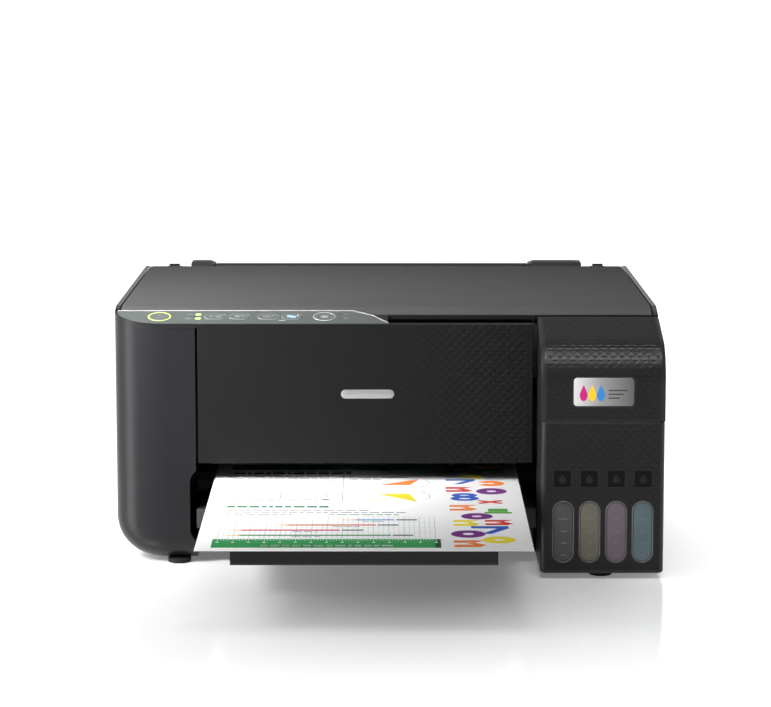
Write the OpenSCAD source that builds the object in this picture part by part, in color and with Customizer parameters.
// Compact ink-tank inkjet printer: a scanner hood over a print engine, with refillable tanks in front.
// Frame: +X to the viewer's right, +Y to the back, +Z up, origin under the middle of the footprint.

/* [Overall] */
// Width of the body across the two side housings
body_w = 375; // [373:0.5:378]
// Depth of the body from the ink tank front to the back
body_d = 347; // [345:0.5:349]
// Depth from the sheet's front edge, tray out, to the back
total_d = 510; // [506:1:516]
// How far the ink tank unit stands forward of the main front
tank_step = 45.2; // [44:0.1:46]
// Height of the flat top, lid closed
rim_z = 176.5; // [176:0.1:177]
// Height of the two feeder towers, the highest points
tower_z = 179; // [178.6:0.1:180]
// Wall thickness of the moulded housings
wall = 2.5; // [2.2:0.1:2.8]
// Gap along the seams between moulded parts
seam = 0.6; // [0.5:0.1:0.8]

/* [Control panel] */
// Slope of the control panel
slope_deg = 14.6; // [14.3:0.1:14.9]
// Height of the panel's front edge
front_top_z = 167.9; // [167.6:0.1:168.2]
// Diameter of the power and stop buttons
round_button_d = 13.4; // [12:0.1:14]
// Width of the four flat buttons
flat_button_w = 14; // [12:0.1:14.4]
// How far a button travels
button_travel = 0.8; // [0.5:0.1:0.9]

/* [Paper and trays] */
// Width of an A4 sheet
sheet_w = 210; // [210]
// Length of an A4 sheet
sheet_l = 297; // [297]
// Middle of the paper path, left of the body's middle
path_x = -13.6; // [-14:0.1:-13.2]
// Upward tilt of the output tray towards the front
tray_tilt = 4.3; // [4.2:0.05:4.4]
// Width of the output tray
tray_w = 190; // [188:1:192]
// Width of the tray extension
extension_w = 166; // [164:1:168]

/* [Ink tanks] */
// Spacing of the four ink tanks
tank_pitch = 17.85; // [17.7:0.05:18]
// Middle of the leftmost ink tank
tank_first_x = 119.4; // [119:0.1:119.8]
// Width of one window
window_w = 14.3; // [13:0.1:14.6]
// Height of one window
window_h = 42.2; // [40:0.1:43]

/* [Print engine] */
// Radius of the carriage rail
rail_r = 4; // [3.8:0.1:4.2]
// How far the print carriage travels
carriage_travel = 235; // [230:1:236]
// Radius of the feed roller
feed_r = 8; // [7.8:0.1:8]
// Radius of the exit roller's tyres
exit_r = 6; // [5.8:0.1:6]
// Radius of the pickup roller
pickup_r = 16; // [15:0.5:16]
// Lean of the rear feeder back from upright
feed_lean = 18; // [17.8:0.1:18.2]

/* [Hidden] */
$fn = 48;
eps = 0.1;
fit = 0.05;

// Main planes
half_w = body_w / 2;
back_y = total_d / 2;
sheet_front_y = -total_d / 2;
tank_y = back_y - body_d;
front_y = tank_y + tank_step;
bottom_z = 3;
slope = tan(slope_deg);
crest_y = front_y + (rim_z - front_top_z) / slope;
skin = 3;
side_seam_z = 161;
seam_step_y = -20;
rear_corner_r = 22;
front_corner_x = 36;
front_corner_y = 24;
bottom_corner_r = 28;

// Fronts and edges of the tank unit, front panel and opening
tank_left_x = 104.1;
tank_z0 = 3.8;
tank_seam_z = 107.9;
cover_back_y = -31.2;
panel_x0 = -129.2;
panel_x1 = 100.8;
panel_z0 = 71.1;
opening_x0 = -135.2;
opening_top_z = 60;
opening_z0 = 14;
housing_front_x = -130.9;

// Lid outline
lid_gap = 0.5;
lid_edge = 3.2;
lid_z0 = 170.2;
lid_front_y = -22.5;
lid_mid_y = -31;
notch_x0 = -9;
notch_x1 = 2.4;
module_x0 = -154;
module_x1 = 153;
module_y = 232.6;
lid_back_y = 230.4;
deck_z1 = 169.6;
deck_z0 = 166;

// Axes of the hinges, as Y and Z, and the radii of their pins
hood_axis = [249.5, 165];
lid_axis = [251.8, 173.3];
cover_axis = [-34.4, 168];
cap_axis = [-46, 112];
guard_axis = [235.2, 175.4];
hood_pin_r = 1.5;
lid_pin_r = 1.2;
cover_pin_r = 1.2;
cap_pin_r = 1.2;
guard_pin_r = 0.9;

// Base: floor, feet (x, y and the height of the face they are stuck to), posts and ribs
floor_z0 = 5.7;
floor_z1 = 8.5;
foot_r = 8;
feet_at = [[-143.5, -36, bottom_z], [146, -76, tank_z0], [-150, 228, bottom_z], [150, 228, floor_z0]];
rib_y = [22, 132, 170];
rib_top_z = 12;
post_x = [-151.5, 141.5];
post_y = [34, 116];
post_w = 10;
post_d = 6;
post_top_z = 30;
tray_post_x = [-128, 96];
screw_r = 1.5;

// Back panel: half width, hinge lugs, vents and sockets
rear_cover_hw = 165;
corner_seam_z = 159.6;
module_top_z = 175.8;
lug_x = [-159.6, 156.6];
lug_w = 3;
lug_r = 3.4;
vent_count = 12;
vent_x0 = -96;
vent_pitch = 9;
vent_w = 3;
vent_z = [22, 40];
ac_x = -150;
ac_z = 52;
usb_x = 128;
usb_z = 48;
usb_plate_hw = 12;
usb_plate_hh = 11;

// Ink tank unit
tank_left_in = tank_left_x + wall;
tank_back_y = -33.6;
tank_wall_z1 = 159.5;
tank_corner_r = 4.5;
window_z = 32.5;
level_z = [16.6, 24.9, 32.8, 41.4];
label_z = 68.8;
label_hw = 5.8;
label_hh = 5.6;
label_first_x = 118.6;
label_pitch = 18.13;
saddle_x = [tank_left_x + 12, half_w - 18];
saddle_w = 4;
saddle_y = -37;
filler_y = -66;
filler_r = 4.5;
chamber_hw = 8.4;
chamber_z = [7, 104];
chamber_wall = 1.2;
cap_z0 = 111.3;
cap_r = 8;
cover_barrel_r = 3;
cover_arc_at = [tank_y + 26, 134];
badge_x = [125.7, 166.3];
badge_z = [118.3, 137.5];

// Output tray, in the tray's own frame, and the sheet on it
tray_base_hw = 117;
tray_slot = 13;
tray_y = [-110, 38];
tray_z = [-11, -2];
extension_y = [-204, -61];
extension_z = [-9.4, -3.6];
extension_lip = 4;
sheet_z = 54.4;
sheet_tilt = 1.01;
sheet_t = 0.3;

// Print engine
engine_x0 = -153;
engine_x1 = 151.8;
engine_y0 = 22;
beam_y = 124;
plate_t = 1.2;
plate_top_z = 118;
rail_at = [66, 96];
feed_at = [103, 52.3];
exit_at = [32, 53.3];
feed_shaft_r = 4;
exit_shaft_r = 3;
idler_pin_r = 2;
gear_w = 4.6;
gear_x0 = engine_x0 - 6;
feed_teeth = 40;
idler_teeth = 38;
exit_teeth = 32;
// The idler gear hangs where both of its neighbours mesh with it
feed_gap = (feed_teeth + idler_teeth) / 2 + 0.1;
exit_gap = (exit_teeth + idler_teeth) / 2 + 0.1;
axis_gap = norm(exit_at - feed_at);
idler_along = (feed_gap ^ 2 - exit_gap ^ 2 + axis_gap ^ 2) / (2 * axis_gap);
idler_drop = sqrt(feed_gap ^ 2 - idler_along ^ 2);
to_exit = (exit_at - feed_at) / axis_gap;
idler_at = feed_at + idler_along * to_exit + idler_drop * [to_exit[1], -abs(to_exit[0])];
belt_y = 108;
belt_z = 100;
belt_x0 = -138;
belt_x1 = 138;
belt_hw = 3;
belt_t = 1.4;
pulley_r = 6;
pulley_hw = 2.8;
pulley_bore_r = 1.5;
motor_r = 13.5;
platen_x1 = 90;
platen_y = [48, 91];
platen_rib_z = 59;
carriage_x1 = 148;
carriage_x0 = carriage_x1 - 60;
carriage_y = [42, 99];
carriage_z = [67, 104];
damper_pitch = 13;
station_x0 = 94;
station_y = [50, 88];
cap_tub_x = [98, 134];
board_x = 174;
board_y = [130, 240];
board_z = [30, 120];
supply_x = [-174, -128];
supply_y = [150, 235];
supply_z = [14, 44];
sheet_metal_t = 1.5;
tube_r = 1.4;
tube_x0 = 158;
tube_z0 = 78;
tube_pitch = 4.2;
tube_y = 60;

// Rear feeder; points in its own frame where it leans
tower_l = [-152.5, -133.5];
tower_r = [111, 153];
tower_y0 = module_y + 0.4;
tower_y1 = back_y - wall - 0.1;
tower_bevel = 4.5;
tower_wall = 2;
pickup_at = [-33, -103];
pickup_shaft_r = 4;
cheek_x = [-124, 99];
cheek_w = 2.5;
cheek_y = [113, 212];
guide_z = [52, 57.5];
hopper_pivot = [-7.2, -34];
hopper_pin_r = 1.7;
hopper_x = [-108, 86];
hopper_z = [-118, -32];
support_x = [-116, 94];
support_t = 3.4;

// Scanner hood
glass_x = 150;
glass_y0 = -3;
glass_y1 = 213;
bed_hw = 182;
bed_z0 = 128;
bed_front_y = -28;
bed_back_y = 214;
bed_rear_y = 225.5;
well_z = 148;
lid_corner_y = 234;
lid_hollow_hw = 170;
lid_knuckle_r = 2.9;
// Lid hinges: middles of the two sliding posts
post_mid_x = [-166.5, 166.5];
post_hw = 4;
post_front_y = 236;
post_back_y = 242;
emblem_x = [-30.9, 5.5];
emblem_z = [116.4, 122.5];
scan_bar_x = [-148, -128];

// Keys: x and y of their middles; the first and the last are round
buttons = [["power", -155.9, -33.5], ["network", -117.7, -33.5], ["status", -100.8, -33.5],
    ["black_copy", -81.2, -33.5], ["color_copy", -64.4, -33.5], ["stop", -42.4, -33.5]];
flat_button_l = 9;
flat_button_r = 4;
button_h = 3.1;
button_gap = 0.25;
light_at = [[-129.3, -30], [-129.3, -37.1]];

function slope_z(y) = front_top_z + slope * (y - front_y);
function top_z(y) = min(rim_z, slope_z(y));
function arc(cx, cy, rx, ry, a0, a1, n = 12) =
    [for (i = [0:n]) let (a = a0 + (a1 - a0) * i / n) [cx + rx * cos(a), cy + ry * sin(a)]];

// Footprint of the main body, moved in by d
function body_outline(d = 0) = concat(
    arc(-half_w + front_corner_x, front_y + front_corner_y,
        front_corner_x - d, front_corner_y - d, 180, 270),
    [[half_w - d, front_y + d]],
    arc(half_w - rear_corner_r, back_y - rear_corner_r, rear_corner_r - d, rear_corner_r - d, 0, 90),
    arc(-half_w + rear_corner_r, back_y - rear_corner_r, rear_corner_r - d, rear_corner_r - d, 90, 180));

// Front view of the body, moved in by d
function body_front(d = 0) = concat(
    arc(-half_w + bottom_corner_r, bottom_z + bottom_corner_r,
        bottom_corner_r - d, bottom_corner_r - d, 180, 270),
    arc(half_w - 6, bottom_z + 6, 6 - d, 6 - d, 270, 360, 4),
    [[half_w - d, 200], [-half_w + d, 200]]);

module slab(x0, x1, y0, y1, z0, z1) translate([x0, y0, z0]) cube([x1 - x0, y1 - y0, z1 - z0]);
module rod_x(x0, x1, y, z, r) translate([x0, y, z]) rotate([0, 90, 0]) cylinder(h = x1 - x0, r = r);
module rod_y(x, y0, y1, z, r) translate([x, y0, z]) rotate([-90, 0, 0]) cylinder(h = y1 - y0, r = r);
module rod_z(x, y, z0, z1, r) translate([x, y, z0]) cylinder(h = z1 - z0, r = r);
module prism_x(x0, x1, points)
    translate([x0, 0, 0]) rotate([90, 0, 90]) linear_extrude(x1 - x0) polygon(points);
module prism_y(y0, y1, points)
    translate([0, y1, 0]) rotate([90, 0, 0]) linear_extrude(y1 - y0) polygon(points);

// A slab with rounded corners in plan
module rounded_slab(x0, x1, y0, y1, z0, z1, r) translate([0, 0, z0]) linear_extrude(z1 - z0)
    union() {
        translate([x0 + r, y0]) square([x1 - x0 - 2 * r, y1 - y0]);
        translate([x0, y0 + r]) square([x1 - x0, y1 - y0 - 2 * r]);
        for (x = [x0 + r, x1 - r], y = [y0 + r, y1 - r]) translate([x, y]) circle(r);
    }

// A block with rounded corners in the front view
module rounded_front(x0, x1, z0, z1, y0, y1, r) translate([0, y1, 0]) rotate([90, 0, 0])
    rounded_slab(x0, x1, z0, z1, 0, y1 - y0, r);

// Solid of the body, moved in by d
module body_solid(d = 0) intersection() {
    linear_extrude(200) polygon(body_outline(d));
    prism_y(-60, 260, body_front(d));
}

// Everything under the top surface lowered by d
module under_top(d = 0, x0 = -200, x1 = 200) prism_x(x0, x1,
    [[-60, -5], [260, -5], [260, rim_z - d], [crest_y, rim_z - d], [-60, slope_z(-60) - d]]);

// The room that the scanner hood takes, grown by gap
module hood_zone(gap = 0) union() {
    slab(-200, 200, seam_step_y - gap, 260, side_seam_z - gap, 210);
    if (gap > 0) slab(-200, 200, 243, 260, corner_seam_z, 210);
    difference() {
        slab(-200, 200, -60, seam_step_y + eps, 100, 210);
        under_top(skin + gap);
    }
}

// Frame of the output tray: origin on its top face at the body's front, +Y backwards down the slope
module tray_frame() translate([path_x, front_y, 39]) rotate([-tray_tilt, 0, 0]) children();

// Frame of the rear feeder: +Z up along the leaning paper, -Y the side that the paper lies on
module feed_frame() translate([0, 249.5, 177]) rotate([-feed_lean, 0, 0]) children();

// Frame of the control panel: +Z out of the panel's face
module panel_frame(x, y) translate([x, y, slope_z(y)]) rotate([slope_deg, 0, 0]) children();

// A straight-toothed gear with its axis along X
module gear_x(x, y, z, teeth, width, bore, turn = 0) {
    pitch_r = teeth / 2;
    root_r = pitch_r - 1.15;
    tip_r = pitch_r + 0.8;
    step = 360 / teeth;
    translate([x, y, z]) rotate([0, 90, 0]) rotate(turn) difference() {
        linear_extrude(width) polygon([for (i = [0:teeth - 1], c = [0:3])
            let (a = (i + [-0.29, -0.1, 0.1, 0.29][c]) * step, r = [root_r, tip_r, tip_r, root_r][c])
            [r * cos(a), r * sin(a)]]);
        translate([0, 0, -1]) cylinder(h = width + 2, r = bore);
    }
}

// ---------- Base ----------

module base_frame() color([0.10, 0.10, 0.11]) difference() {
    union() {
        intersection() {
            body_solid(wall + 0.3);
            difference() {
                slab(-200, 200, -60, 260, floor_z0, floor_z1);
                slab(tank_left_x - 8, 200, -60, tank_back_y + 1, 0, 20);
            }
        }
        // Cross ribs
        for (y = rib_y) slab(-118, 96, y, y + 2, floor_z1 - eps, rib_top_z);
        // Posts under the corners of the chassis
        for (x = post_x, y = post_y) 
            slab(x, x + post_w, y, y + post_d, floor_z1 - eps, post_top_z);
        // Posts that hold the tray base
        for (x = tray_post_x) {
            slab(x, x + 6, -38, -32, floor_z1 - eps, 24);
            slab(x, x + 6, 60, 66, floor_z1 - eps, 16);
        }
    }
    for (x = post_x, y = post_y)
        rod_z(x + post_w / 2, y + post_d / 2, 16, post_top_z + 1, screw_r + fit);
}

// One side of the outer shell, between two planes across X
module shell_between(x0, x1, y0, y1) intersection() {
    difference() {
        body_solid(0);
        body_solid(wall);
        hood_zone(seam);
    }
    slab(x0, x1, y0, y1, 0, 200);
}

module left_housing() color([0.19, 0.19, 0.20]) difference() {
    shell_between(-half_w - 1, housing_front_x, -60, back_y + 1);
    rounded_front(opening_x0, 0, opening_z0, opening_top_z + 8, -60, -30, 11);
    // Room for the back panel
    slab(-rear_cover_hw, 0, back_y - wall - eps, back_y + 1, 0, 200);
}

module right_housing() color([0.15, 0.15, 0.16])
    shell_between(rear_cover_hw, half_w + 1, cover_back_y + 0.4, back_y + 1);

module usb_cutout(grow, y0, y1)
    slab(usb_x - usb_plate_hw - grow, usb_x + usb_plate_hw + grow, y0, y1,
        usb_z - usb_plate_hh - grow, usb_z + usb_plate_hh + grow);

// The back panel, with two lugs that carry the hood's hinge pins
module rear_cover() color([0.13, 0.13, 0.14]) difference() {
    union() {
        slab(-rear_cover_hw + 0.2, rear_cover_hw - 0.2, back_y - wall, back_y,
            bottom_z + 1, corner_seam_z);
        slab(module_x0 + 0.6, module_x1 - 0.6, back_y - wall, back_y,
            corner_seam_z - 1, module_top_z);
        for (x = lug_x) {
            rod_x(x, x + lug_w, hood_axis[0], hood_axis[1], lug_r);
            slab(x, x + lug_w, hood_axis[0] - lug_r, hood_axis[0] + 2.6, 150, hood_axis[1]);
            slab(x, x + lug_w, hood_axis[0] - lug_r, back_y - wall + eps, 140, corner_seam_z - 2);
        }
    }
    for (x = lug_x) rod_x(x - 1, x + lug_w + 1, hood_axis[0], hood_axis[1], hood_pin_r + fit);
    // Sockets
    slab(ac_x - 10.4, ac_x + 10.4, 240, 260, ac_z - 8.4, ac_z + 8.4);
    usb_cutout(0.2, 240, 260);
    // Vents
    for (i = [0:vent_count - 1]) translate([vent_x0 + vent_pitch * i, 0, 0])
        slab(0, vent_w, 240, 260, vent_z[0], vent_z[1]);
}

// ---------- Ink tank unit ----------

function tank_x(i) = tank_first_x + tank_pitch * i;
function label_x(i) = label_first_x + label_pitch * i;

module window_shape(grow, y0, y1) for (i = [0:3])
    rounded_front(tank_x(i) - window_w / 2 - grow, tank_x(i) + window_w / 2 + grow,
        window_z - window_h / 2 - grow, window_z + window_h / 2 + grow, y0, y1,
        window_w / 2 + grow - 0.01);

// The four colour tiles, moved in by d
module label_tiles(d, y0, y1) for (i = [0:3])
    slab(label_x(i) - label_hw + d, label_x(i) + label_hw - d, y0, y1,
        label_z - label_hh + d, label_z + label_hh - d);

module tank_housing() color([0.14, 0.14, 0.15]) difference() {
    union() {
        rounded_slab(tank_left_x, half_w, tank_y, tank_back_y, tank_z0, tank_seam_z - 0.5,
            tank_corner_r);
        slab(tank_left_x, half_w, tank_back_y - 10, tank_back_y, tank_z0, tank_seam_z - 0.5);
        slab(tank_left_x, half_w - 3.5, tank_back_y - 2, tank_back_y, tank_z0, tank_wall_z1);
        // Saddles of the cover's hinge
        for (x = saddle_x) {
            slab(x, x + saddle_w, saddle_y, tank_back_y - 1, 150, tank_wall_z1 + 1);
            slab(x, x + saddle_w, saddle_y, cover_axis[0] - 0.2, 150, cover_axis[1]);
            rod_x(x, x + saddle_w, cover_axis[0], cover_axis[1], 1.8);
        }
        label_tiles(0, tank_y, tank_y + 1);
    }
    slab(tank_left_in, half_w - wall, tank_y + wall, tank_back_y - 2, tank_z0 + wall, 120);
    window_shape(0, tank_y - 1, tank_y + wall + 1);
    for (x = saddle_x) {
        rod_x(x - 1, x + saddle_w + 1, cover_axis[0], cover_axis[1], cover_pin_r + fit);
        slab(x - 1, x + saddle_w + 1, -40, -30, cover_axis[1], 180);
    }
    // A shallow frame line round each colour tile
    difference() {
        label_tiles(0, tank_y - 1, tank_y + 0.4);
        label_tiles(0.4, tank_y - 2, tank_y + 1);
    }
}

module window_lenses() color([0.35, 0.36, 0.38, 0.6]) difference() {
    window_shape(-0.15, tank_y, tank_y + wall);
    // Level marks
    for (i = [0:3], z = level_z)
        slab(tank_x(i) - 4.5, tank_x(i) - 1, tank_y - 1, tank_y + 0.3, z - 0.3, z + 0.3);
}

module ink_tanks() color([0.30, 0.31, 0.33]) for (i = [0:3]) translate([tank_x(i), 0, 0])
    difference() {
        union() {
            slab(-chamber_hw, chamber_hw, tank_y + wall + 0.4, saddle_y, chamber_z[0], chamber_z[1]);
            rod_z(0, filler_y, 103, 111, 6.5);
            // Ears and pin of the cap's hinge
            for (x = [-5.4, 3.4]) {
                slab(x, x + 2, cap_axis[0] - 2.4, cap_axis[0] + 2.4, 103, cap_axis[1]);
                rod_x(x, x + 2, cap_axis[0], cap_axis[1], 2.4);
            }
            rod_x(-5, 5, cap_axis[0], cap_axis[1], cap_pin_r);
        }
        slab(-chamber_hw + chamber_wall, chamber_hw - chamber_wall, tank_y + wall + 0.4 + chamber_wall,
            saddle_y - chamber_wall, chamber_z[0] + chamber_wall, chamber_z[1] - chamber_wall);
        rod_z(0, filler_y, 100, 112, filler_r);
    }

// One hinged filler cap, closed
module filler_cap(i, tint) color(tint) translate([tank_x(i), 0, 0]) {
    difference() {
        union() {
            rod_z(0, filler_y, cap_z0, cap_z0 + 3.2, cap_r);
            slab(-3, 3, filler_y + 6, cap_axis[0], cap_z0, cap_z0 + 2.5);
            // Finger tab
            slab(-2.5, 2.5, filler_y - cap_r - 4, filler_y - 6, cap_z0 + 0.3, cap_z0 + 2.1);
            rod_x(-3, 3, cap_axis[0], cap_axis[1], 2.4);
        }
        rod_x(-4, 4, cap_axis[0], cap_axis[1], cap_pin_r + fit);
    }
    rod_z(0, filler_y, 108, cap_z0 + eps, filler_r - 0.8);
}
module cap_1() filler_cap(0, [0.15, 0.15, 0.15]);
module cap_2() filler_cap(1, [0.75, 0.65, 0.10]);
module cap_3() filler_cap(2, [0.65, 0.12, 0.35]);
module cap_4() filler_cap(3, [0.10, 0.40, 0.65]);

// Side view of the tank cover's outside, front to back
function cover_side(d) = concat(
    [[tank_y + d, tank_seam_z], [tank_y + d, 132]],
    arc(cover_arc_at[0], cover_arc_at[1], cover_arc_at[0] - tank_y - d, 27.5 - d, 180, 108, 8),
    [[cover_axis[0], slope_z(cover_axis[0]) - d], [cover_axis[0], tank_seam_z]]);

module tank_cover() color([0.15, 0.15, 0.16]) {
    difference() {
        union() {
            difference() {
                prism_x(tank_left_x, half_w, cover_side(0));
                prism_x(tank_left_in, half_w - wall, cover_side(wall));
                slab(tank_left_x - 1, half_w + 1, saddle_y - 1, -20, 100, cover_axis[1] - 3.6);
            }
            rod_x(tank_left_x, half_w, cover_axis[0], cover_axis[1], cover_barrel_r);
        }
        // Room round the saddles
        for (x = saddle_x) {
            rod_x(x - 0.5, x + saddle_w + 0.5, cover_axis[0], cover_axis[1], 2.1);
            slab(x - 0.5, x + saddle_w + 0.5, -45, -30, 150, cover_axis[1] + 0.15);
        }
        // Recess of the badge
        slab(badge_x[0] - 0.2, badge_x[1] + 0.2, tank_y - 1, tank_y + 0.8,
            badge_z[0] - 0.2, badge_z[1] + 0.2);
    }
    for (x = saddle_x)
        rod_x(x - 1, x + saddle_w + 1, cover_axis[0], cover_axis[1], cover_pin_r);
}

module tank_badge() color([0.55, 0.56, 0.58])
    rounded_front(badge_x[0], badge_x[1], badge_z[0], badge_z[1], tank_y + 0.1, tank_y + 0.8, 2.5);

// ---------- Output tray ----------

module tray_base() color([0.24, 0.25, 0.26]) tray_frame() difference() {
    slab(-tray_base_hw, tray_base_hw, 0.5, 152, -tray_slot, 0);
    slab(-tray_w / 2 - 1, tray_w / 2 + 1, -1, 150, tray_z[0] - 0.4, tray_z[1] + 0.4);
}

module output_tray() color([0.17, 0.17, 0.18]) tray_frame() difference() {
    slab(-tray_w / 2, tray_w / 2, tray_y[0], tray_y[1], tray_z[0], tray_z[1]);
    slab(-extension_w / 2 - 1.5, extension_w / 2 + 1.5, tray_y[0] - 1, tray_y[1] - 2,
        extension_z[0] - 0.4, extension_z[1] + 0.4);
}

module tray_extension() color([0.20, 0.20, 0.21]) tray_frame() difference() {
    union() {
        slab(-extension_w / 2, extension_w / 2, extension_y[0], extension_y[1],
            extension_z[0], extension_z[1]);
        rounded_slab(-extension_w / 2, extension_w / 2, extension_y[0], extension_y[0] + extension_lip,
            extension_z[0] - 0.4, 0, 1.2);
    }
    // Finger hollow under the front edge
    slab(-22, 22, -199, -186, -10, -6.2);
}

module printed_sheet() color([0.93, 0.93, 0.92])
    translate([path_x, sheet_front_y, sheet_z]) rotate([sheet_tilt, 0, 0])
        slab(-sheet_w / 2, sheet_w / 2, 0, sheet_l, 0, sheet_t);

// ---------- Print engine ----------

// Direction from one gear's axis to another's, as an angle in the gear's own plane
function gear_angle(a, b) = atan2(b[0] - a[0], -(b[1] - a[1]));
// Turn that puts gear b's gaps on gear a's teeth
function mesh_turn(angle, turn_a, teeth_a, teeth_b) =
    angle + 180 - 360 / teeth_b * (0.5 - (angle - turn_a) * teeth_a / 360);
idler_turn = mesh_turn(gear_angle(feed_at, idler_at), 0, feed_teeth, idler_teeth);
exit_turn = mesh_turn(gear_angle(idler_at, exit_at), idler_turn, idler_teeth, exit_teeth);

module platen() color([0.12, 0.12, 0.13]) {
    slab(engine_x0 + plate_t, platen_x1, platen_y[0], platen_y[1], 42, 57.5);
    for (i = [0:13])
        slab(-122 + 16 * i, -120 + 16 * i, platen_y[0] + 2, platen_y[1] - 2, 57.4, platen_rib_z);
}

module main_chassis() color([0.62, 0.63, 0.65]) difference() {
    union() {
        for (x = [engine_x0, engine_x1]) 
            slab(x, x + plate_t, engine_y0, beam_y + plate_t, post_top_z, plate_top_z);
        slab(engine_x0, engine_x1 + plate_t, beam_y, beam_y + plate_t, 68, plate_top_z);
        slab(engine_x0, engine_x1 + plate_t, 112, beam_y + plate_t, plate_top_z - plate_t, plate_top_z);
        // Flanges that stand on the base's posts
        for (x = [engine_x0, engine_x1 - post_w + plate_t])
            slab(x, x + post_w, engine_y0, beam_y + plate_t, post_top_z, post_top_z + plate_t);
        // Idler pin of the timing belt
        rod_y(belt_x1, belt_y - 4, beam_y + eps, belt_z, pulley_bore_r);
        // Pin of the idler gear
        rod_x(gear_x0 - 0.5, engine_x0 + eps, idler_at[0], idler_at[1], idler_pin_r);
    }
    rod_y(belt_x0, 120, 130, belt_z, 6.5);
    for (x = [engine_x0, engine_x1]) {
        rod_x(x - 1, x + 3, feed_at[0], feed_at[1], feed_shaft_r + fit);
        rod_x(x - 1, x + 3, exit_at[0], exit_at[1], exit_shaft_r + fit);
    }
    for (x = post_x, y = post_y)
        rod_z(x + post_w / 2, y + post_d / 2, post_top_z - 1, post_top_z + 2, screw_r + 0.2);
}

module carriage_rail() color([0.80, 0.81, 0.83])
    rod_x(engine_x0 + plate_t, engine_x1, rail_at[0], rail_at[1], rail_r);

// Stadium round both pulleys, grown by d
module belt_loop(d, y0, y1) {
    for (x = [belt_x0, belt_x1]) rod_y(x, y0, y1, belt_z, pulley_r + d);
    slab(belt_x0, belt_x1, y0, y1, belt_z - pulley_r - d, belt_z + pulley_r + d);
}

module timing_belt() color([0.08, 0.08, 0.08]) difference() {
    belt_loop(0.3 + belt_t, belt_y - belt_hw, belt_y + belt_hw);
    belt_loop(0.3, belt_y - belt_hw - 1, belt_y + belt_hw + 1);
}

module drive_motors() color([0.55, 0.55, 0.57]) {
    // Carriage motor, behind the chassis beam
    difference() {
        rod_y(belt_x0, beam_y + plate_t + 0.1, 155, belt_z, motor_r);
        rod_y(belt_x0, 120, 150, belt_z, pulley_bore_r + fit);
    }
    // Paper feed motor on the end of the feed roller
    difference() {
        rod_x(157, 180, feed_at[0], feed_at[1], motor_r);
        rod_x(156, 163, feed_at[0], feed_at[1], feed_shaft_r + fit);
    }
}

module motor_pulley() color([0.75, 0.70, 0.45]) {
    rod_y(belt_x0, belt_y - pulley_hw, belt_y + pulley_hw, belt_z, pulley_r);
    rod_y(belt_x0, belt_y + pulley_hw - eps, 149, belt_z, pulley_bore_r);
}

module idler_pulley() color([0.80, 0.80, 0.78]) difference() {
    rod_y(belt_x1, belt_y - pulley_hw, belt_y + pulley_hw, belt_z, pulley_r);
    rod_y(belt_x1, 90, 120, belt_z, pulley_bore_r + fit);
}

module print_carriage() color([0.16, 0.16, 0.17]) {
    difference() {
        union() {
            slab(carriage_x0, carriage_x1, carriage_y[0], carriage_y[1], carriage_z[0], carriage_z[1]);
            // Clamp that grips the belt
            slab(carriage_x0 + 15, carriage_x1 - 15, carriage_y[1] - 1, 104.6, 84, 92);
        }
        rod_x(carriage_x0 - 1, carriage_x1 + 1, rail_at[0], rail_at[1], rail_r + fit);
        // Well of the four ink dampers
        slab(carriage_x0 + 3, carriage_x1 - 3, carriage_y[0] + 3, 59.5, 76, carriage_z[1] + 1);
        slab(carriage_x0 + 3, carriage_x1 - 3, 72.5, carriage_y[1] - 3, 76, carriage_z[1] + 1);
    }
    for (i = [0:3]) translate([carriage_x0 + 5 + damper_pitch * i, 0, 0])
        slab(0, 10, 74, 94, 75.9, carriage_z[1] + 2);
}

module print_head() color([0.35, 0.36, 0.38]) {
    slab(carriage_x0 + 8, carriage_x1 - 12, 50, 86, 63.2, carriage_z[0]);
    slab(carriage_x0 + 12, carriage_x1 - 16, 54, 82, 62.2, 63.3);
}

module feed_roller() color([0.30, 0.30, 0.32]) {
    rod_x(-125, 120, feed_at[0], feed_at[1], feed_r);
    rod_x(gear_x0 - 1, -124.9, feed_at[0], feed_at[1], feed_shaft_r);
    rod_x(119.9, 162, feed_at[0], feed_at[1], feed_shaft_r);
    gear_x(gear_x0, feed_at[0], feed_at[1], feed_teeth, gear_w, feed_shaft_r - eps);
}

module idler_gear() color([0.85, 0.84, 0.80])
    gear_x(gear_x0, idler_at[0], idler_at[1], idler_teeth, gear_w, idler_pin_r + fit, idler_turn);

module exit_roller() color([0.28, 0.28, 0.29]) {
    rod_x(gear_x0 - 1, engine_x1 + 4, exit_at[0], exit_at[1], exit_shaft_r);
    for (x = [-110, -66, -22, 22, 66]) rod_x(x - 6, x + 6, exit_at[0], exit_at[1], exit_r);
    gear_x(gear_x0, exit_at[0], exit_at[1], exit_teeth, gear_w, exit_shaft_r - eps, exit_turn);
}

module cap_station() color([0.22, 0.22, 0.24]) {
    slab(station_x0, engine_x1, station_y[0], station_y[1], 40, 56);
    // Tub that seals the parked print head
    difference() {
        slab(cap_tub_x[0], cap_tub_x[1], station_y[0] + 4, station_y[1] - 4, 55.9, 61.4);
        slab(cap_tub_x[0] + 2, cap_tub_x[1] - 2, station_y[0] + 6, station_y[1] - 6, 57.5, 62);
    }
    // Wiper blade
    slab(station_x0 - 2.8, station_x0 - 1.6, station_y[0] + 6, station_y[1] - 6, 50, 61.6);
    slab(station_x0 - 1.7, station_x0 + eps, station_y[0] + 6, station_y[1] - 6, 50, 52);
}

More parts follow.
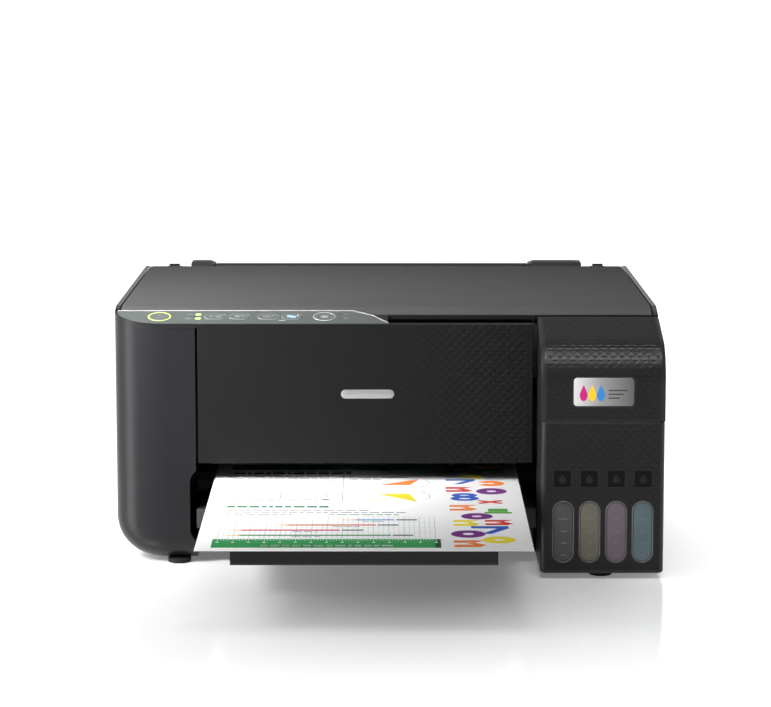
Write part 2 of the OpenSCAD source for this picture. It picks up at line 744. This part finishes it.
module main_board() color([0.10, 0.35, 0.18]) {
    slab(board_x, board_x + 1.6, board_y[0], board_y[1], board_z[0], board_z[1]);
    // Heat sink and two connectors
    slab(board_x - 8, board_x + eps, 150, 180, 60, 90);
    for (z = [40, 56]) slab(board_x - 6, board_x + eps, 200, 222, z, z + 8);
    // Stand-offs on the right housing
    for (y = [board_y[0] + 10, board_y[1] - 8], z = [board_z[0] + 8, board_z[1] - 8])
        rod_x(board_x + 1.5, half_w - wall, y, z, 2.5);
}

module power_supply() color([0.45, 0.45, 0.47]) difference() {
    slab(supply_x[0], supply_x[1], supply_y[0], supply_y[1], supply_z[0], supply_z[1]);
    slab(supply_x[0] + sheet_metal_t, supply_x[1] - sheet_metal_t, supply_y[0] + sheet_metal_t,
        supply_y[1] + 1, supply_z[0] + sheet_metal_t, supply_z[1] - sheet_metal_t);
}

module ac_inlet() color([0.06, 0.06, 0.06]) difference() {
    union() {
        rounded_front(ac_x - 10, ac_x + 10, ac_z - 8, ac_z + 8, 236, back_y - 0.3, 2);
        slab(ac_x - 13, ac_x + 13, 238, back_y - wall - 0.1, ac_z - 8, ac_z + 8);
    }
    rounded_front(ac_x - 8.3, ac_x + 8.3, ac_z - 5.2, ac_z + 5.2, 241, back_y + 1, 4.9);
}

module usb_port() color([0.70, 0.71, 0.73]) difference() {
    union() {
        slab(usb_x - 6, usb_x + 6, 238, back_y - 0.3, usb_z - 5.4, usb_z + 5.4);
        // Shield plate round the socket
        usb_cutout(0, back_y - wall, back_y - 0.7);
    }
    slab(usb_x - 5.4, usb_x + 5.4, 240, back_y + 1, usb_z - 4.8, usb_z + 4.8);
}

// Four flexible tubes, from the backs of the tanks to the chassis
module ink_tubes() color([0.70, 0.72, 0.74]) for (i = [0:3]) {
    z = tube_z0 + tube_pitch * i;
    x = tube_x0 + tube_pitch * i;
    rod_y(x, tank_back_y + 0.1, tube_y + tube_r, z, tube_r);
    rod_x(engine_x1 + plate_t + 0.1, x, tube_y, z, tube_r - 0.2);
}

module rubber_feet() color([0.05, 0.05, 0.05])
    for (p = feet_at) rod_z(p[0], p[1], 0, p[2], foot_r);

module screws() color([0.70, 0.71, 0.72]) for (x = post_x, y = post_y) {
    rod_z(x + post_w / 2, y + post_d / 2, 18, 31.3, screw_r);
    rod_z(x + post_w / 2, y + post_d / 2, post_top_z + plate_t, 33, 2.8);
}

// ---------- Rear feeder ----------

// Side view of a feeder tower, moved in by d; the bevel leaves room for the hood's back edge as it swings
function tower_side(d) = [[tower_y0 + d, 60 - d / 2], [tower_y1 - d, 60 - d / 2], [tower_y1 - d, tower_z - d],
    [tower_y0 + tower_bevel + d / 2, tower_z - d], [tower_y0 + d, tower_z - tower_bevel - d / 2]];

module feeder_frame() color([0.14, 0.14, 0.15]) {
    difference() {
        for (t = [tower_l, tower_r]) difference() {
            prism_x(t[0], t[1], tower_side(0));
            prism_x(t[0] + tower_wall, t[1] - tower_wall, tower_side(tower_wall));
        }
        rod_x(tower_l[1] - 3, tower_r[0] + 3, guard_axis[0], guard_axis[1], guard_pin_r + fit);
        feed_frame() rod_x(tower_l[1] - 3, tower_r[0] + 3, hopper_pivot[0], hopper_pivot[1],
            hopper_pin_r + fit);
    }
    // Leaning back plate
    feed_frame() slab(tower_l[1] - eps, tower_r[0] + eps, 1, 3, -128, -14);
    // Paper guide under the pickup roller, on two cheeks with the roller's bearings
    slab(cheek_x[0], cheek_x[1] + cheek_w, cheek_y[0], cheek_y[1], guide_z[0], guide_z[1]);
    difference() {
        for (x = cheek_x) {
            slab(x, x + cheek_w, cheek_y[0], cheek_y[1], floor_z1, guide_z[0] + eps);
            slab(x, x + cheek_w, 170, 204, guide_z[1] - eps, 98);
        }
        feed_frame() rod_x(-140, 120, pickup_at[0], pickup_at[1], pickup_shaft_r + fit);
    }
}

module pickup_roller() color([0.10, 0.10, 0.10]) feed_frame() {
    rod_x(-30, 4, pickup_at[0], pickup_at[1], pickup_r);
    rod_x(cheek_x[0] - 2, cheek_x[1] + 4, pickup_at[0], pickup_at[1], pickup_shaft_r);
}

module hopper() color([0.20, 0.20, 0.21]) feed_frame() {
    difference() {
        slab(hopper_x[0], hopper_x[1], -9, -5.5, hopper_z[0], hopper_z[1]);
        for (i = [0:4]) slab(-90 + 36 * i, -78 + 36 * i, -10, -5, -108, -50);
    }
    // Friction pad under the pickup roller
    slab(-46, 20, -9.6, -8.9, -116, -110);
    rod_x(tower_l[1] - 1, tower_r[0] + 1, hopper_pivot[0], hopper_pivot[1], hopper_pin_r);
}

module paper_support() color([0.17, 0.17, 0.18]) feed_frame() {
    slab(support_x[0], support_x[1], -support_t, 0, -118, -3);
    // Grip to pull it up by
    rounded_slab(-60, 38, -support_t, 1, -7, -2, 1.5);
}

module feeder_guard() color([0.16, 0.16, 0.17]) {
    slab(tower_l[1] + 0.6, tower_r[0] - 0.6, guard_axis[0] - 0.9, 244.4, 174.5, 176.3);
    rod_x(tower_l[1] - 1.4, tower_r[0] + 1.4, guard_axis[0], guard_axis[1], guard_pin_r);
}

// Side guide that slides along the hopper's top to the sheet's width
module edge_guide() color([0.15, 0.15, 0.16]) feed_frame() {
    slab(-122, -119, -13.4, -4.4, -30, -8);
    slab(-119.1, -100, -5.2, -4.4, -26, -14);
}

// ---------- Scanner hood ----------

module scanner_bed() color([0.13, 0.13, 0.14]) difference() {
    union() {
        prism_x(-bed_hw, bed_hw,
            [[bed_front_y, bed_z0], [bed_back_y, bed_z0], [bed_rear_y, 160], [bed_rear_y, deck_z0],
                [bed_front_y, deck_z0]]);
        // Ribs that hold the front panel, and the floor of the finger gap
        for (x = [-120, -60, 0, 60, 92])
            slab(x, x + 2, front_y + wall, bed_front_y + eps, 130, well_z);
        slab(notch_x0 - 5, panel_x1 - 1, front_y + wall, bed_front_y + eps, well_z - 2, well_z);
    }
    prism_x(-bed_hw + wall, bed_hw - wall, [[bed_front_y + wall, bed_z0 + wall],
        [bed_back_y - 2.2, bed_z0 + wall], [bed_rear_y - wall, 160], [bed_rear_y - wall, 168],
        [bed_front_y + wall, 168]]);
}

// Plan of the lid, moved in by d
module lid_plan(d) difference() {
    union() {
        intersection() {
            polygon(body_outline(lid_edge + d));
            translate([-200, -100]) square([400, 100 + lid_corner_y + 5]);
        }
        intersection() {
            polygon(body_outline(d > 0 ? 0.02 : -1));
            translate([-200, lid_corner_y + d]) square([400, 40]);
        }
    }
    // In front of the lid: control panel, finger gap and tank cover
    polygon([[-200, -70], [-200, lid_front_y + d], [notch_x0 - 14, lid_front_y + d],
        [notch_x0, lid_mid_y + 0.3 + d], [200, lid_mid_y + d], [200, -70]]);
    // Behind the lid: the feeder module
    translate([module_x0 - d, lid_back_y - d]) square([module_x1 - module_x0 + 2 * d, 40]);
}
module scanner_frame() color([0.20, 0.20, 0.21]) {
    difference() {
        intersection() {
            linear_extrude(200) polygon(body_outline(0));
            hood_zone(0);
            under_top(0);
        }
        // Lid recess
        translate([0, 0, deck_z1]) linear_extrude(20) lid_plan(0);
        // Control panel recess
        intersection() {
            linear_extrude(200) panel_plan(-0.2);
            difference() {
                slab(-200, 200, -60, 0, 100, 200);
                under_top(2);
            }
        }
        // Open below, with the side band and the rear corners left standing
        difference() {
            translate([0, 0, 150]) linear_extrude(deck_z0 - 150) polygon(body_outline(skin));
            slab(-200, 200, 232, 260, 100, 200);
        }
        // Window of the glass
        slab(-glass_x, glass_x, glass_y0, glass_y1, 150, 190);
        // Finger gap
        slab(notch_x1 - 1, panel_x1, front_y + wall - eps, lid_mid_y, 160, 190);
        // Room for the buttons
        for (i = [0:5]) button_hole(i);
        // Front panel
        slab(panel_x0 - 0.3, panel_x1 + 1, front_y - 1, front_y + wall, 150, 190);
        // Ink tank unit
        slab(panel_x1 + 0.2, 200, -60, lid_mid_y, 100, 200);
        // Feeder module
        slab(module_x0, module_x1, 229.8, 260, 100, 200);
        // Lower back edge, rounded about the hinge
        difference() {
            slab(-200, 200, hood_axis[0], 260, 150, hood_axis[1]);
            rod_x(-201, 201, hood_axis[0], hood_axis[1], 5.5);
        }
        // Slots of the hinge lugs
        for (x = lug_x) slab(x - 0.6, x + lug_w + 0.6, 244, 260, 150, 180);
        // Guides of the lid's posts and their arms
        for (x = post_mid_x) {
            slab(x - post_hw - 0.4, x + post_hw + 0.4, post_front_y - 0.4, post_back_y + 0.4, 150, 180);
            slab(x - post_hw - 0.4, x + post_hw + 0.4, post_front_y - 0.4, 260, 166, 180);
        }
    }
    for (x = lug_x) rod_x(x - 2, x + lug_w + 2, hood_axis[0], hood_axis[1], hood_pin_r);
}

// Plan of the control panel, moved in by d
module panel_plan(d) intersection() {
    polygon(body_outline(1.4 + d));
    polygon([[-200, front_y - 1], [-200, lid_front_y - d], [notch_x0 - 14, lid_front_y - d],
        [notch_x0, lid_mid_y - d], [notch_x1 - d, front_y + 1.4 + d], [notch_x1 - d, front_y - 1]]);
}

module scan_glass() color([0.75, 0.85, 0.85, 0.35])
    slab(-glass_x + 0.3, glass_x - 0.3, glass_y0 + 0.3, glass_y1 - 0.3, deck_z0 + 0.4, deck_z1);

module front_panel() color([0.20, 0.20, 0.21]) {
    intersection() {
        slab(panel_x0, panel_x1, front_y, front_y + wall, panel_z0, 180);
        difference() {
            under_top(0);
            // Room for the control panel's front edge
            intersection() {
                linear_extrude(200) panel_plan(-0.2);
                difference() {
                    slab(-200, 200, -60, 0, 100, 200);
                    under_top(2);
                }
            }
        }
    }
    slab(panel_x0, panel_x1, front_y, front_y + 9, panel_z0, panel_z0 + wall);
}

// Plan of one key, grown by d
module key_plan(i, d, h) {
    if (i == 0 || i == len(buttons) - 1) cylinder(h = h, r = round_button_d / 2 + d);
    else rounded_slab(-flat_button_w / 2 - d, flat_button_w / 2 + d,
        -flat_button_l / 2 - d, flat_button_l / 2 + d, 0, h, flat_button_r + d);
}

module button_hole(i) panel_frame(buttons[i][1], buttons[i][2]) translate([0, 0, -6])
    key_plan(i, button_gap, 12);

module button(i, tint) color(tint) panel_frame(buttons[i][1], buttons[i][2])
    translate([0, 0, 0.2 - button_h]) key_plan(i, 0, button_h);

module control_panel() color([0.55, 0.57, 0.57]) difference() {
    intersection() {
        linear_extrude(200) panel_plan(0);
        under_top(0.05);
    }
    under_top(1.8);
    for (i = [0:5]) button_hole(i);
    for (p = light_at) panel_frame(p[0], p[1]) translate([0, 0, -4])
        rounded_slab(-2, 2, -0.9, 0.9, 0, 8, 0.8);
}

module indicator_lights() color([0.6, 0.9, 0.3]) for (p = light_at)
    panel_frame(p[0], p[1]) translate([0, 0, -1.7]) rounded_slab(-1.9, 1.9, -0.8, 0.8, 0, 1.7, 0.7);

module power_button() button(0, [0.6, 0.62, 0.62]);
module network_button() button(1, [0.58, 0.6, 0.6]);
module status_button() button(2, [0.58, 0.6, 0.6]);
module black_copy_button() button(3, [0.58, 0.6, 0.6]);
module color_copy_button() button(4, [0.58, 0.6, 0.6]);
module stop_button() button(5, [0.6, 0.62, 0.62]);

module emblem_plate() color([0.75, 0.76, 0.78])
    rounded_front(emblem_x[0], emblem_x[1], emblem_z[0], emblem_z[1], front_y - 0.35, front_y, 3);

module scan_bar() color([0.12, 0.12, 0.12]) {
    slab(scan_bar_x[0], scan_bar_x[1], glass_y0 + 2, glass_y1 - 6, 148, 162);
    // Lens strip
    slab(scan_bar_x[0] + 8, scan_bar_x[0] + 12, glass_y0 + 6, glass_y1 - 10, 161.9, 165.6);
}

module lid_hinges() color([0.12, 0.12, 0.13]) for (x = post_mid_x) difference() {
    union() {
        slab(x - post_hw, x + post_hw, post_front_y, post_back_y, 148, 169.4);
        slab(x - post_hw, x + post_hw, post_front_y, lid_axis[0] + 2, 166.4, 169.4);
        slab(x - post_hw, x + post_hw, lid_axis[0] - 2.6, lid_axis[0] + 2, 166.4, lid_axis[1]);
        rod_x(x - post_hw, x + post_hw, lid_axis[0], lid_axis[1], lid_knuckle_r);
    }
    rod_x(x - post_hw - 1, x + post_hw + 1, lid_axis[0], lid_axis[1], lid_pin_r + fit);
}

module document_cover() color([0.34, 0.34, 0.35]) {
    difference() {
        intersection() {
            translate([0, 0, lid_z0]) linear_extrude(20) lid_plan(lid_gap);
            under_top(0);
            // Back edge rounded about the hinge
            union() {
                slab(-200, 200, -60, lid_axis[0], 160, 200);
                rod_x(-200, 200, lid_axis[0], lid_axis[1], back_y - lid_axis[0]);
            }
        }
        // Hollow underside
        slab(-lid_hollow_hw, lid_hollow_hw, -10, 222, lid_z0 - 1, rim_z - wall);
        // Notches of the hinge knuckles
        for (x = post_mid_x) slab(x - post_hw - 0.5, x + post_hw + 0.5, 247.6, 256, 160, 180);
    }
    for (x = post_mid_x)
        rod_x(x - post_hw - 2, x + post_hw + 2, lid_axis[0], lid_axis[1], lid_pin_r);
}

module foam_mat() color([0.92, 0.92, 0.90])
    slab(-152, 152, -5, 216, lid_z0 - 0.3, rim_z - 2.6);

base_frame();
left_housing();
right_housing();
rear_cover();
tank_housing();
window_lenses();
ink_tanks();
tray_base();
platen();
main_chassis();
carriage_rail();
timing_belt();
drive_motors();
main_board();
power_supply();
ac_inlet();
usb_port();
cap_station();
feeder_frame();
ink_tubes();
rubber_feet();
screws();
scanner_bed();
scanner_frame();
scan_glass();
front_panel();
control_panel();
indicator_lights();
emblem_plate();
scan_bar();
power_button();
network_button();
status_button();
black_copy_button();
color_copy_button();
stop_button();
lid_hinges();
document_cover();
foam_mat();
tank_cover();
tank_badge();
cap_1();
cap_2();
cap_3();
cap_4();
output_tray();
tray_extension();
printed_sheet();
print_carriage();
print_head();
motor_pulley();
idler_pulley();
feed_roller();
idler_gear();
exit_roller();
pickup_roller();
hopper();
paper_support();
feeder_guard();
edge_guide();
